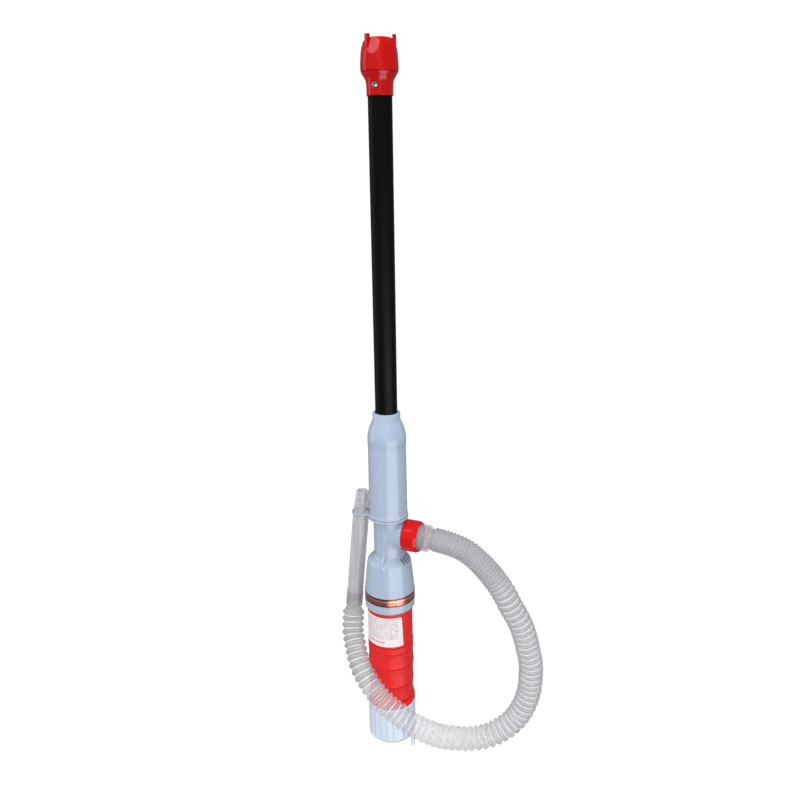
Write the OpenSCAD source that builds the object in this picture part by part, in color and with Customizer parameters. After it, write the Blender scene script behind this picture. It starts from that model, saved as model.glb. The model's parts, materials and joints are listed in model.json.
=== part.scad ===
// Battery-powered transfer pump with a corrugated outlet hose.
// It stands on its battery cap: Z up to the intake, X along the outlet spout.
// Origin: the middle of the cap's flat end.

/* [Battery end] */
// Outer radius of the battery cap
cap_r = 23.5; // [23.3:0.1:25]
// Height of the battery cap
cap_h = 40; // [38:0.5:40]
// Outer radius of the battery tube
grip_r = 21.6; // [21.4:0.1:22]
// Radius of the bore that holds the cells
cell_bore_r = 17.9; // [17.8:0.1:18.2]
// Radius of one D cell
cell_r = 17.1; // [16.6:0.1:17.1]
// Length of one D cell, with its nub
cell_h = 61.5; // [61:0.1:61.5]
// Depth of the finger scallops in the battery tube
scallop = 0.6; // [0:0.1:0.8]

/* [Pump head] */
// Outer radius of the motor housing
bell_r = 23.8; // [23.4:0.1:24.2]
// Outer radius of the neck that carries the spout
neck_r = 14; // [13.8:0.1:14.2]
// Radius of the motor can
motor_r = 13.8; // [12:0.1:14]
// Height of the spout's axis
spout_z = 220.2; // [219.6:0.1:220.4]
// Outer radius of the hose nut
nut_r = 15; // [14.8:0.1:15.1]

/* [Sleeve, tube and foot] */
// Outer radius of the sleeve
sleeve_r = 17.6; // [17:0.1:18]
// Outer radius of the suction tube
tube_r = 10; // [9.8:0.1:10]
// Wall of the suction tube
tube_wall = 1.5; // [1.2:0.1:1.6]
// Radius of the drive shaft
shaft_r = 2; // [1.5:0.1:2]
// Spacing of the guides that steady the drive shaft
guide_pitch = 105; // [100:1:105]
// Outer radius of the foot
foot_r = 15.45; // [15.3:0.05:16]
// Height of the intake prongs' tips
tip_z = 649; // [648.5:0.1:650]

/* [Hose and nozzle] */
// Radius of the corrugated hose
hose_r = 10.7; // [9:0.1:11]
// Radius of the nozzle's straight tube
nozzle_r = 7.75; // [7.5:0.05:7.8]
// Lean of the nozzle away from the body, in degrees
nozzle_tilt = 6; // [6:0.5:6.5]

/* [Hidden] */
$fn = 96;
CLEAR = 0.05;          // gap of a close fit
EPS = 0.01;            // overrun of a cut

// Levels along the body
flange_z = cap_h + 0.4;
grip_top_z = 144.5;
spigot_z = 152;
trim_z = 154;
trim_h = 8.3;
ceiling_z = 193.5;
chamber_z = 201.5;
neck_top_z = 262;
clip_z = 235.8;
clip_t = 2.4;
sleeve_z = 238.4;
sleeve_top_z = 338.4;
tube_z = 265.5;
tube_top_z = 617;
first_guide_z = 290;
collar_z = 604.2;
screw_z = 612.2;
screw_seat = 10.6;
seam_z = 622;
hub_z = 627.5;
blade_z = 634;
shaft_end_z = 639.9;
rim_z = 646.9;

// Inside the battery end
cap_floor = 3.2;
cap_bore_r = cap_r - 2.2;
plate_t = 0.6;
spring_h = 6.8;
cell_z = cap_floor + plate_t + spring_h + 0.3;
cells_top_z = cell_z + 2 * cell_h;
tube_foot_z = 11;
spigot_r = 20.6;
groove_z = 35.5;
contact_t = 1.3;
contact_z = cells_top_z + contact_t;
holder_t = 3.8;
lead_x = 7;

// Inside the motor housing
end_cap_z = 147;
motor_z = 153;
motor_top_z = 186;
motor_wall = 0.8;
motor_shaft_r = 1.15;
screw_y = 8;
mount_t = 2.2;
coupling_z = 188.6;
coupling_h = 4.4;
joint_z = 190.8;
seal_z = 197;
shaft_hole_r = 2.6;
chamber_r = 11.3;

// The spout, from the body's axis outwards
thread_x = 16.6;
spout_end_x = 27;
spout_bore_r = 8.5;
nut_x = 17;
nut_end_x = 32;
cuff_x = 28.2;
hose_x = 44;

// The nozzle, measured along its own axis from the clip's eye
eye_x = -28;
eye_z = clip_z + clip_t / 2;
nozzle_len = 22;
tube_end = -101;
cuff_end = -106;

// The hose's route, from the spout's cuff to the nozzle's cuff
HOSE_MID = [
    [64, 1, 217], [78, 4, 210], [91, 5, 199], [101, 7, 187], [110, 8, 174], [117, 10, 159],
    [124, 13, 145], [129, 16, 129], [132, 18, 114], [135, 20, 98], [135, 21, 82], [134, 22, 66],
    [130, 21, 50], [123, 19, 35], [113, 14, 24], [100, 8, 16], [86, 3, 12], [72, -4, 13],
    [58, -13, 18], [46, -21, 26], [33, -27, 35], [21, -31, 45], [10, -34, 55], [-2, -34, 67],
    [-13, -31, 78], [-23, -25, 89], [-31, -16, 101], [-37, -8, 113]
];

LIGHT_BLUE = [0.68, 0.75, 0.84];
CAP_BLUE = [0.76, 0.83, 0.90];
GRIP_RED = [0.88, 0.16, 0.15];
FOOT_RED = [0.80, 0.07, 0.09];
TUBE_BLACK = [0.08, 0.08, 0.09];
CLEAR_PVC = [0.85, 0.86, 0.87, 0.5];
RUBBER = [0.12, 0.12, 0.12];
STEEL = [0.75, 0.76, 0.78];
BRASS = [0.80, 0.65, 0.30];
COPPER = [0.72, 0.40, 0.27];
WHITE = [0.92, 0.91, 0.90];

// Points of an arc, from angle a0 to a1
function arc(cx, cy, r, a0, a1, n = 8) =
    [for (i = [0:n]) let (a = a0 + (a1 - a0) * i / n) [cx + r * cos(a), cy + r * sin(a)]];

// Points of one finger scallop between two crests [height, radius]
function dip(a, b, depth, n = 8) =
    [for (i = [0:n - 1]) let (t = i / n, r = a[1] + (b[1] - a[1]) * t)
        [r - depth * sin(180 * t), a[0] + (b[0] - a[0]) * t]];

function unit(v) = v / norm(v);

// Direction of travel at point i of a route with fixed end directions
function heading(p, i, first, last) =
    i == 0 ? first : i == len(p) - 1 ? last : unit(p[i + 1] - p[i - 1]);

// Side vectors carried along a route without twist
function carried(t, i, s) =
    i == len(t) ? [] : let (v = unit(s - (s * t[i]) * t[i])) concat([v], carried(t, i + 1, v));

module ring(r_out, r_in, z0, z1) {
    difference() {
        translate([0, 0, z0]) cylinder(r = r_out, h = z1 - z0);
        translate([0, 0, z0 - EPS]) cylinder(r = r_in, h = z1 - z0 + 2 * EPS);
    }
}

// Places its children with Z along the spout's axis
module on_spout() {
    translate([0, 0, spout_z]) rotate([0, 90, 0]) children();
}

// Places its children with Z along the nozzle's axis
module on_nozzle() {
    translate([eye_x, 0, eye_z]) rotate([0, nozzle_tilt, 0]) children();
}

// A closed round tube swept along a route
module swept_tube(p, r, first, last, side, n = 12) {
    t = [for (i = [0:len(p) - 1]) heading(p, i, first, last)];
    s = carried(t, 0, side);
    points = [for (i = [0:len(p) - 1]) for (k = [0:n - 1])
        p[i] + r * (cos(360 * k / n) * s[i] + sin(360 * k / n) * cross(t[i], s[i]))];
    walls = [for (i = [0:len(p) - 2]) for (k = [0:n - 1]) let (j = (k + 1) % n)
        [i * n + k, (i + 1) * n + k, (i + 1) * n + j, i * n + j]];
    start = [[for (k = [0:n - 1]) k]];
    end = [[for (k = [n - 1:-1:0]) (len(p) - 1) * n + k]];
    polyhedron(points, concat(start, walls, end));
}

// ---- battery end ----

module battery_cap() {
    lug_angle = -25.5;
    color(CAP_BLUE) {
        difference() {
            rotate_extrude() polygon(concat(
                [[0, 0], [17.5, 0]],
                arc(17.5, 5, 5, -90, 0),
                [[cap_r, 26], [cap_r, cap_h - 0.5], [cap_r - 0.5, cap_h], [0, cap_h]]));
            translate([0, 0, cap_floor]) cylinder(r = cap_bore_r, h = cap_h);
        }
        rotate([0, 0, lug_angle]) cap_lug();
    }
}

// Finger lug on the cap's side: an upright peg held by a web at its top
module cap_lug() {
    peg_r = 1.9;
    peg_x = 30.2;
    lug_h = 14;
    web_z = 9.5;
    difference() {
        union() {
            translate([cap_bore_r, -peg_r, web_z]) cube([peg_x - cap_bore_r, 2 * peg_r, lug_h - web_z]);
            translate([peg_x, 0, 0]) cylinder(r = peg_r, h = lug_h);
        }
        translate([0, 0, cap_floor]) cylinder(r = cap_bore_r, h = cap_h);
    }
}

module cap_contact() {
    color(BRASS) translate([0, 0, cap_floor]) cylinder(r = 20.4, h = plate_t);
}

// Conical spring that presses on the lower cell
module cap_spring() {
    turns = 4;
    steps = 14;
    wire_r = 0.6;
    z0 = cap_floor + plate_t + wire_r;
    rise = spring_h - 2 * wire_r;
    helix = [for (i = [0:turns * steps]) let (u = i / (turns * steps), a = 360 * i / steps)
        [(8 - 3 * u) * cos(a), (8 - 3 * u) * sin(a), z0 + rise * u]];
    last = len(helix) - 1;
    color(STEEL) swept_tube(helix, wire_r, unit(helix[1] - helix[0]),
        unit(helix[last] - helix[last - 1]), [0, 0, 1], 6);
}

module cell(z) {
    nub_h = 1.6;
    nub_r = 4.7;
    color(WHITE) translate([0, 0, z]) {
        rotate_extrude() polygon([
            [0, 0], [cell_r - 0.8, 0], [cell_r, 0.8], [cell_r, cell_h - nub_h - 0.8],
            [cell_r - 0.8, cell_h - nub_h], [nub_r, cell_h - nub_h], [nub_r, cell_h], [0, cell_h]]);
    }
}

module battery_1() {
    cell(cell_z);
}

module battery_2() {
    cell(cell_z + cell_h);
}

module battery_tube() {
    crests = [[48, 21.8], [64, 22], [85, 22.4], [101, 22]];
    color(GRIP_RED) difference() {
        rotate_extrude() polygon(concat(
            [[cell_bore_r, tube_foot_z], [spigot_r - 0.5, tube_foot_z], [spigot_r, tube_foot_z + 0.5]],
            [[spigot_r, flange_z], [cap_r - 0.4, flange_z], [cap_r - 0.4, flange_z + 5]],
            dip(crests[0], crests[1], scallop),
            dip(crests[1], crests[2], scallop),
            dip(crests[2], crests[3], scallop),
            [[22, 101], [22.1, 104], [22, 107.5], [grip_r, 108.3]],
            [[grip_r, grip_top_z], [spigot_r, grip_top_z], [spigot_r, spigot_z]],
            [[cell_bore_r, spigot_z]]));
        ring(spigot_r + 1, 19.6, groove_z - 0.75, groove_z + 0.75);
        rotate([0, 0, 80]) rotate_extrude(angle = 20) translate([cell_bore_r - 0.5, tube_foot_z - 1])
            square([0.9, contact_z + holder_t - tube_foot_z + 1]);
    }
}

module tube_o_ring() {
    color(RUBBER) translate([0, 0, groove_z]) rotate_extrude() translate([20.3, 0])
        circle(r = 0.7, $fn = 24);
}

// Paper label around part of the battery tube
module grip_label() {
    color(WHITE) rotate([0, 0, -178]) rotate_extrude(angle = 142) translate([grip_r, 110])
        square([0.3, 31.5]);
}

// Brass strip that brings the lower cell's pole up to the motor
module contact_strip() {
    color(BRASS) rotate([0, 0, 84]) rotate_extrude(angle = 12) translate([cell_bore_r - 0.1, tube_foot_z])
        square([0.4, contact_z + 1 - tube_foot_z]);
}

module contact_holder() {
    color(RUBBER) difference() {
        translate([0, 0, contact_z]) cylinder(r = cell_bore_r - 0.1, h = holder_t);
        for (x = [-lead_x, lead_x]) translate([x, 0, contact_z - EPS]) cylinder(r = 1.2, h = 5);
    }
}

module positive_contact() {
    color(BRASS) translate([0, 0, cells_top_z]) cylinder(r = 9, h = contact_t);
}

module motor_leads() {
    lead_z = contact_z + 0.2;
    color(FOOT_RED) for (x = [-lead_x, lead_x]) translate([x, 0, lead_z])
        cylinder(r = 0.9, h = end_cap_z - lead_z, $fn = 24);
}

// ---- motor ----

module motor_end_cap() {
    color(WHITE) difference() {
        translate([0, 0, end_cap_z]) cylinder(r = motor_r - motor_wall, h = motor_z - end_cap_z);
        translate([0, 0, end_cap_z + 2]) cylinder(r = 2.4, h = 5);
    }
}

module motor_can() {
    front_boss_r = 4.5;
    color(STEEL) difference() {
        union() {
            translate([0, 0, motor_z]) cylinder(r = motor_r, h = motor_top_z - motor_z);
            translate([0, 0, motor_top_z]) cylinder(r = front_boss_r, h = 2);
        }
        translate([0, 0, motor_z - EPS])
            cylinder(r = motor_r - motor_wall, h = motor_top_z - motor_z - 1.5);
        translate([0, 0, motor_z]) cylinder(r = motor_shaft_r + 0.1, h = 40);
        for (y = [-screw_y, screw_y]) translate([0, y, motor_z]) cylinder(r = 1.55, h = 40);
    }
}

module motor_magnets() {
    magnet_r = 10.4;
    magnet_h = 24;
    color(RUBBER) for (a = [-55, 125]) rotate([0, 0, a]) rotate_extrude(angle = 110)
        translate([magnet_r, motor_z + 4]) square([motor_r - motor_wall - CLEAR - magnet_r, magnet_h]);
}

// Armature, commutator and shaft of the motor
module motor_rotor() {
    armature_z = motor_z + 5;
    commutator_h = 3.5;
    shaft_z = end_cap_z + 3;
    color(COPPER) {
        translate([0, 0, armature_z]) cylinder(r = 9.8, h = 22);
        translate([0, 0, armature_z - commutator_h]) cylinder(r = 4, h = commutator_h + EPS);
        translate([0, 0, shaft_z]) cylinder(r = motor_shaft_r, h = joint_z - shaft_z);
    }
}

module motor_mount() {
    plate_r = 16.4;
    color(TUBE_BLACK) {
        difference() {
            translate([0, 0, motor_top_z]) cylinder(r = plate_r, h = mount_t);
            translate([0, 0, motor_top_z - EPS]) cylinder(r = 5.2, h = 3);
            for (y = [-screw_y, screw_y]) translate([0, y, motor_top_z - EPS]) cylinder(r = 1.6, h = 3);
        }
        for (a = [30:60:330]) rotate([0, 0, a]) translate([13.5, 0, motor_top_z + mount_t - EPS])
            cylinder(r = 1.8, h = ceiling_z - motor_top_z - mount_t + EPS);
    }
}

module motor_screws() {
    reach = 3;
    color(STEEL) for (y = [-screw_y, screw_y]) translate([0, y, 0]) {
        translate([0, 0, motor_top_z - reach]) cylinder(r = 1.5, h = reach + mount_t);
        translate([0, 0, motor_top_z + mount_t]) cylinder(r = 2.6, h = 1.8);
    }
}

// ---- pump head ----

module pump_head() {
    socket_r = spigot_r + CLEAR;
    vent_turn = 11.5;
    vent_w = 1.3;
    color(LIGHT_BLUE) difference() {
        union() {
            rotate_extrude() polygon(concat(
                [[0, grip_top_z]],
                arc(bell_r - 2.5, grip_top_z + 2.5, 2.5, -60, 0),
                [[bell_r, trim_z + trim_h], [22.7, 174.5], [21.8, 183]],
                arc(16.25, 191.4, 4.5, 6, 60),
                arc(neck_r + 5, 200.8, 5, 240, 180),
                [[neck_r, neck_top_z], [0, neck_top_z]]));
            on_spout() cylinder(r = 13, h = thread_x + EPS);
            on_spout() spout_thread();
            for (a = [-87, 93]) rotate([0, 0, a]) neck_rib();
        }
        rotate_extrude() polygon([
            [0, grip_top_z - 3], [socket_r, grip_top_z - 3], [socket_r, 172],
            [18.4, ceiling_z - 2.5], [16.8, ceiling_z], [0, ceiling_z]]);
        translate([0, 0, ceiling_z - EPS]) cylinder(r = shaft_hole_r, h = 10);
        translate([0, 0, seal_z]) cylinder(r = 5.1, h = 10);
        translate([0, 0, chamber_z]) cylinder(r = chamber_r, h = 70);
        on_spout() cylinder(r = spout_bore_r, h = 40);
        ring(neck_r + 1, 12.25, 255.1, 256.9);
        for (i = [-2:2]) rotate([0, 0, vent_turn * i])
            translate([14.9, -vent_w / 2, 191]) cube([5.2, vent_w, 11]);
    }
}

// Ridges that the hose nut grips
module spout_thread() {
    pitch = 2.4;
    translate([0, 0, thread_x]) cylinder(r = 12.6, h = spout_end_x - thread_x);
    for (i = [0:3]) translate([0, 0, thread_x + 0.8 + i * pitch]) cylinder(r = 13.2, h = 1.2);
}

// Narrow rib down the neck that runs out on the bell
module neck_rib() {
    rib_w = 2.6;
    translate([0, rib_w / 2, 0]) rotate([90, 0, 0]) linear_extrude(rib_w)
        polygon([
            [12.5, 235], [15.2, 235], [15.2, 206], [16.4, 201], [21.3, 194.2], [21.9, 190],
            [12.5, 194]]);
}

module trim_band() {
    color(COPPER) ring(bell_r + 0.3, bell_r, trim_z, trim_z + trim_h);
}

module shaft_seal() {
    color(RUBBER) ring(5.1, shaft_r + 0.05, seal_z, chamber_z);
}

module seal_retainer() {
    color(STEEL) ring(8.5, 3.2, chamber_z, chamber_z + 1);
}

module neck_o_ring() {
    color(RUBBER) translate([0, 0, 256]) rotate_extrude() translate([13.15, 0]) circle(r = 0.9, $fn = 24);
}

// Figure-eight holder: one ring on the neck, one eye for the nozzle
module hose_clip() {
    color(LIGHT_BLUE) difference() {
        union() {
            translate([0, 0, clip_z]) cylinder(r = 18.8, h = clip_t);
            translate([eye_x, 0, clip_z]) cylinder(r = 8.8, h = clip_t);
            translate([eye_x + 5, -4, clip_z]) cube([10, 8, clip_t]);
        }
        translate([0, 0, clip_z - EPS]) cylinder(r = neck_r + CLEAR, h = 4);
        on_nozzle() translate([0, 0, -6]) cylinder(r = 7.35, h = 12);
    }
}

// ---- sleeve and tube ----

// Joins the neck to the suction tube inside the sleeve
module tube_adapter() {
    seat_z = tube_z - 1.5;
    color(LIGHT_BLUE) rotate_extrude() polygon([
        [neck_r + CLEAR, 250], [15.5, 250], [15.5, 268], [12.4, 268], [12.4, 280], [tube_r + CLEAR, 280],
        [tube_r + CLEAR, seat_z], [8.6, seat_z], [8.6, neck_top_z], [neck_r + CLEAR, neck_top_z]]);
}

module tube_gasket() {
    color(RUBBER) ring(tube_r, 8.6, tube_z - 1.5, tube_z);
}

module sleeve() {
    collar_r = 12.6;
    inner_r = 15.6;
    color(LIGHT_BLUE) difference() {
        rotate_extrude() polygon([
            [neck_r + CLEAR, sleeve_z], [sleeve_r + 0.8, sleeve_z], [sleeve_r + 0.8, sleeve_z + 2],
            [sleeve_r + 0.1, 262], [sleeve_r - 0.2, 302], [sleeve_r + 0.1, 311], [sleeve_r + 0.1, 316.5],
            [16.2, 323.3], [14.8, 327], [13.2, 330.6], [collar_r, 332.4], [collar_r, sleeve_top_z],
            [tube_r + CLEAR, sleeve_top_z], [tube_r + CLEAR, 324], [inner_r, 315],
            [inner_r, sleeve_z + 3], [neck_r + CLEAR, sleeve_z + 3]]);
        for (side = [-1, 1]) translate([side * (sleeve_r + 1.2), 0, 307]) cube([4, 18, 6], center = true);
        translate([sleeve_r - 0.5, -0.6, 243]) cube([3, 1.2, 17]);
        rotate([0, 0, -7]) translate([sleeve_r - 0.6, 0, 256.5]) rotate([0, 90, 0])
            cylinder(r = 0.8, h = 3);
    }
}

module suction_tube() {
    color(TUBE_BLACK) difference() {
        ring(tube_r, tube_r - tube_wall, tube_z, tube_top_z);
        foot_screw_hole();
    }
}

module drive_shaft() {
    color(STEEL) translate([0, 0, joint_z]) cylinder(r = shaft_r, h = shaft_end_z - joint_z);
}

module shaft_coupling() {
    color(WHITE) difference() {
        translate([0, 0, coupling_z]) cylinder(r = 4.2, h = coupling_h);
        translate([0, 0, coupling_z - 1]) cylinder(r = motor_shaft_r, h = joint_z - coupling_z + 1);
        translate([0, 0, joint_z]) cylinder(r = shaft_r, h = 10);
    }
}

// One of the guides spread along the suction tube
module shaft_guide(i) {
    z = first_guide_z + (i - 1) * guide_pitch;
    h = 8;
    spokes = 3;
    outer_r = tube_r - tube_wall - CLEAR;
    color(WHITE) {
        ring(outer_r, outer_r - 0.9, z, z + h);
        difference() {
            union() {
                translate([0, 0, z]) cylinder(r = 3.4, h = h);
                for (k = [0:spokes - 1]) rotate([0, 0, 30 + 360 * k / spokes])
                    translate([0, -0.6, z]) cube([outer_r - 0.5, 1.2, h]);
            }
            translate([0, 0, z - EPS]) cylinder(r = shaft_r + 0.05, h = h + 1);
        }
    }
}

module shaft_guide_1() {
    shaft_guide(1);
}

module shaft_guide_2() {
    shaft_guide(2);
}

module shaft_guide_3() {
    shaft_guide(3);
}

module shaft_guide_4() {
    shaft_guide(4);
}

// ---- foot ----

module foot_screw_hole() {
    translate([0, 0, screw_z]) rotate([90, 0, 0]) cylinder(r = 1.15, h = 20, $fn = 32);
}

module foot_collar() {
    bore_r = tube_r + CLEAR;
    color(FOOT_RED) difference() {
        rotate_extrude() polygon([
            [bore_r, collar_z], [10.85, collar_z], [10.95, 611], [11.05, 613.6], [11.5, 615.7],
            [12.5, 617.7], [14, 620], [15, seam_z], [14.2, seam_z], [14.2, seam_z + 3],
            [13.2, seam_z + 3], [13.2, seam_z - 1], [8.6, 619], [8.6, tube_top_z], [bore_r, tube_top_z]]);
        foot_screw_hole();
        translate([0, -screw_seat, screw_z]) rotate([90, 0, 0]) cylinder(r = 2.75, h = 5, $fn = 32);
    }
}

module foot_screw() {
    head_h = 1.5;
    reach = 2;
    color(STEEL) translate([0, -screw_seat, screw_z]) rotate([90, 0, 0]) difference() {
        union() {
            cylinder(r = 2.5, h = head_h, $fn = 32);
            translate([0, 0, -reach]) cylinder(r = 1.1, h = reach + EPS, $fn = 32);
        }
        for (a = [0, 90]) rotate([0, 0, a]) translate([-1.6, -0.35, head_h - 0.9]) cube([3.2, 0.7, 1]);
    }
}

module impeller() {
    blades = 4;
    reach = 12.2;
    color(WHITE) difference() {
        union() {
            translate([0, 0, hub_z]) cylinder(r = 3.4, h = 14);
            intersection() {
                translate([0, 0, hub_z + 1]) cylinder(r = reach, h = 11);
                for (k = [0:blades - 1]) rotate([0, 0, 360 * k / blades]) translate([0, 0, blade_z])
                    rotate([52, 0, 0]) translate([1, -0.6, -12]) cube([14, 1.2, 24]);
            }
        }
        translate([0, 0, seam_z]) cylinder(r = shaft_r, h = shaft_end_z - seam_z);
    }
}

module intake_cage() {
    spokes = 4;
    grille_z = rim_z - 2;
    mouth_r = 7.6;
    prong_r = 14;
    prong_w = 3.8;
    root_z = 641;
    color(FOOT_RED) {
        rotate_extrude() polygon([
            [14.25, seam_z], [15.1, seam_z], [foot_r, 624.4], [foot_r, 626.5], [15.2, 631], [14.9, 635.5],
            [14.25, 639.7], [13.1, 643.4], [11.6, 645.8], [10, rim_z], [mouth_r, rim_z],
            [mouth_r, grille_z], [10.4, 643], [12.6, 639.6], [12.9, 636], [13.2, seam_z + 3.1],
            [14.25, seam_z + 3.1]]);
        translate([0, 0, grille_z]) cylinder(r = 2.6, h = 1.8);
        for (k = [0:spokes - 1]) rotate([0, 0, 45 + 360 * k / spokes])
            translate([1, -0.75, grille_z]) cube([mouth_r - 0.9, 1.5, 1.8]);
        for (a = [-113, 7, 127]) rotate([0, 0, a]) intersection() {
            cylinder(r = prong_r, h = tip_z);
            translate([11.4, -prong_w / 2, root_z]) cube([4, prong_w, tip_z - root_z]);
        }
    }
}

// ---- outlet hose and nozzle ----

module hose_gasket() {
    color(WHITE) on_spout() ring(12.8, spout_bore_r, spout_end_x, cuff_x);
}

module hose_nut() {
    color(FOOT_RED) on_spout() rotate_extrude() polygon([
        [13.65, nut_x], [nut_r - 0.5, nut_x], [nut_r, nut_x + 0.5], [nut_r, nut_end_x - 2.4],
        [nut_r - 1.5, nut_end_x], [12.95, nut_end_x], [12.95, nut_end_x - 2.2],
        [13.65, nut_end_x - 2.2]]);
}

// Clear flanged cuff that the nut clamps against the spout
module hose_inlet() {
    color(CLEAR_PVC) on_spout() rotate_extrude() polygon(concat(
        [[8.3, cuff_x], [13.3, cuff_x], [13.3, cuff_x + 1.2], [12.6, cuff_x + 1.2]],
        arc(10.1, 39.5, 2.5, 0, 90),
        [[10.1, hose_x], [8.3, hose_x]]));
}

module hose() {
    wall = 1.8;
    lean = [sin(nozzle_tilt), 0, cos(nozzle_tilt)];
    start = [hose_x, 0, spout_z];
    end = [eye_x, 0, eye_z] + cuff_end * lean;
    route = concat([start], HOSE_MID, [end]);
    bore_route = concat([start - [1, 0, 0]], HOSE_MID, [end + lean]);
    color(CLEAR_PVC) difference() {
        swept_tube(route, hose_r, [1, 0, 0], lean, [0, 0, 1]);
        swept_tube(bore_route, hose_r - wall, [1, 0, 0], lean, [0, 0, 1]);
    }
}

module hose_end_cuff() {
    color(CLEAR_PVC) on_nozzle() rotate_extrude() polygon([
        [6.4, cuff_end], [8.3, cuff_end], [8.3, -89], [8.6, -88.6], [8.6, -87], [nozzle_r, -87],
        [nozzle_r, tube_end], [6.4, tube_end]]);
}

// Straight tube with a tapered plug end that sits in the clip's eye
module nozzle() {
    wall = 1.4;
    color(CLEAR_PVC) on_nozzle() rotate_extrude() polygon([
        [nozzle_r - wall, tube_end], [nozzle_r, tube_end], [nozzle_r, -4], [7.3, -2.5], [7.1, 2],
        [5.7, nozzle_len - 0.6], [5.2, nozzle_len], [4.3, nozzle_len], [4.3, 2],
        [nozzle_r - wall, -6]]);
}

battery_cap();
cap_contact();
cap_spring();
battery_1();
battery_2();
battery_tube();
tube_o_ring();
grip_label();
contact_strip();
contact_holder();
positive_contact();
motor_leads();
motor_end_cap();
motor_can();
motor_magnets();
motor_rotor();
motor_mount();
motor_screws();
shaft_coupling();
pump_head();
trim_band();
shaft_seal();
seal_retainer();
neck_o_ring();
hose_clip();
tube_adapter();
tube_gasket();
sleeve();
suction_tube();
drive_shaft();
shaft_guide_1();
shaft_guide_2();
shaft_guide_3();
shaft_guide_4();
foot_collar();
foot_screw();
impeller();
intake_cage();
hose_gasket();
hose_nut();
hose_inlet();
hose();
hose_end_cuff();
nozzle();
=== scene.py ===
"""The looks of the battery transfer pump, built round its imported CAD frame."""
import json
import math

import bmesh
import bpy
import numpy as np
from mathutils import Matrix, Vector


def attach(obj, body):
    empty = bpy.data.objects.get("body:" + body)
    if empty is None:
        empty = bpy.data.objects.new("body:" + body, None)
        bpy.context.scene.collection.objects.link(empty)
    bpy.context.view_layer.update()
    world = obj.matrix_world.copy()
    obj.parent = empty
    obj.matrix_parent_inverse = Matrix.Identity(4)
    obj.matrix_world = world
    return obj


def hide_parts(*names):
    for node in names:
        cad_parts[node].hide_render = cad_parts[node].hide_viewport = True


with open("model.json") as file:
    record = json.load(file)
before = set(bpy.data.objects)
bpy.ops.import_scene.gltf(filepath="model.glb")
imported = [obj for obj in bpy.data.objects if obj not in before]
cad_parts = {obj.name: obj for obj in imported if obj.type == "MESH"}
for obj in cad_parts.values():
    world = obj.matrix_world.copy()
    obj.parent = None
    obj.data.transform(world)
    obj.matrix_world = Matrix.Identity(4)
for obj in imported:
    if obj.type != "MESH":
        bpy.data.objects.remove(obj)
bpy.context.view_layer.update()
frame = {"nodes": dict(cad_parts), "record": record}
nodes = frame["nodes"]

MM = 0.001
SCENE = bpy.context.scene

# ---- camera ----

CAMERA_AZIMUTH = math.radians(22)
CAMERA_PITCH = math.radians(15.87)
CAMERA_ROLL = math.radians(0.85)
CAMERA_DISTANCE = 0.66
CAMERA_SIDE = 0.0125
CAMERA_HEIGHT = 0.537
CAMERA_LENS = 34.425


def make_camera():
    """A camera that looks slightly down and leans a little, from a place right of the object's front."""
    up = Vector((0, 0, 1))
    right = Vector((math.cos(CAMERA_AZIMUTH), math.sin(CAMERA_AZIMUTH), 0))
    back = Vector((math.sin(CAMERA_AZIMUTH), -math.cos(CAMERA_AZIMUTH), 0))
    place = right * CAMERA_SIDE + back * CAMERA_DISTANCE + up * CAMERA_HEIGHT
    backward = back * math.cos(CAMERA_PITCH) + up * math.sin(CAMERA_PITCH)
    upward = backward.cross(right)
    rolled_right = right * math.cos(CAMERA_ROLL) - upward * math.sin(CAMERA_ROLL)
    rolled_up = upward * math.cos(CAMERA_ROLL) + right * math.sin(CAMERA_ROLL)
    data = bpy.data.cameras.new("camera")
    data.lens = CAMERA_LENS
    data.clip_start = 0.01
    camera = bpy.data.objects.new("camera", data)
    turn = Matrix((rolled_right, rolled_up, backward)).transposed().to_4x4()
    camera.matrix_world = Matrix.Translation(place) @ turn
    SCENE.collection.objects.link(camera)
    SCENE.camera = camera


make_camera()

# ---- meshes ----

TINY = 1e-6
NEARLY_STRAIGHT = math.radians(155)


def place_mesh(name, points, faces, material):
    """A smooth-shaded piece of one material, with its points in metres."""
    mesh = bpy.data.meshes.new(name)
    mesh.from_pydata(points, [], faces)
    mesh.materials.append(material)
    mesh.shade_smooth()
    piece = bpy.data.objects.new(name, mesh)
    SCENE.collection.objects.link(piece)
    return piece


def arc(centre_r, centre_z, radius, start, end, steps=8):
    """Points of an arc in a section, with its angles in degrees."""
    turns = [math.radians(start + (end - start) * i / steps) for i in range(steps + 1)]
    return [(centre_r + radius * math.cos(a), centre_z + radius * math.sin(a)) for a in turns]


def rounded(outline, fillet, steps=3):
    """A closed section with its corners rounded, apart from those that are nearly straight."""
    points = [Vector(p) for p in outline]
    count = len(points)
    made = []
    for i, corner in enumerate(points):
        before, after = points[i - 1], points[(i + 1) % count]
        to_before, to_after = before - corner, after - corner
        if corner.x < TINY or min(to_before.length, to_after.length) < TINY:
            made.append(tuple(corner))
            continue
        opening = to_before.angle(to_after)
        if opening > NEARLY_STRAIGHT:
            made.append(tuple(corner))
            continue
        reach = min(fillet / math.tan(opening / 2), 0.4 * to_before.length, 0.4 * to_after.length)
        start = corner + to_before.normalized() * reach
        end = corner + to_after.normalized() * reach
        for k in range(steps + 1):
            t = k / steps
            made.append(tuple(start * (1 - t) ** 2 + corner * 2 * t * (1 - t) + end * t * t))
    return made


def refined(outline, step):
    """A closed section with points no further apart than step."""
    made = []
    for here, there in zip(outline, outline[1:] + outline[:1]):
        parts = max(1, math.ceil(math.dist(here, there) / step))
        made += [tuple(here[k] + (there[k] - here[k]) * i / parts for k in (0, 1)) for i in range(parts)]
    return made


def upright(height):
    """The body's own axis: a point on it and the directions across it."""
    return Vector((0, 0, height)), Vector((1, 0, 0)), Vector((0, 1, 0))


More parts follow.
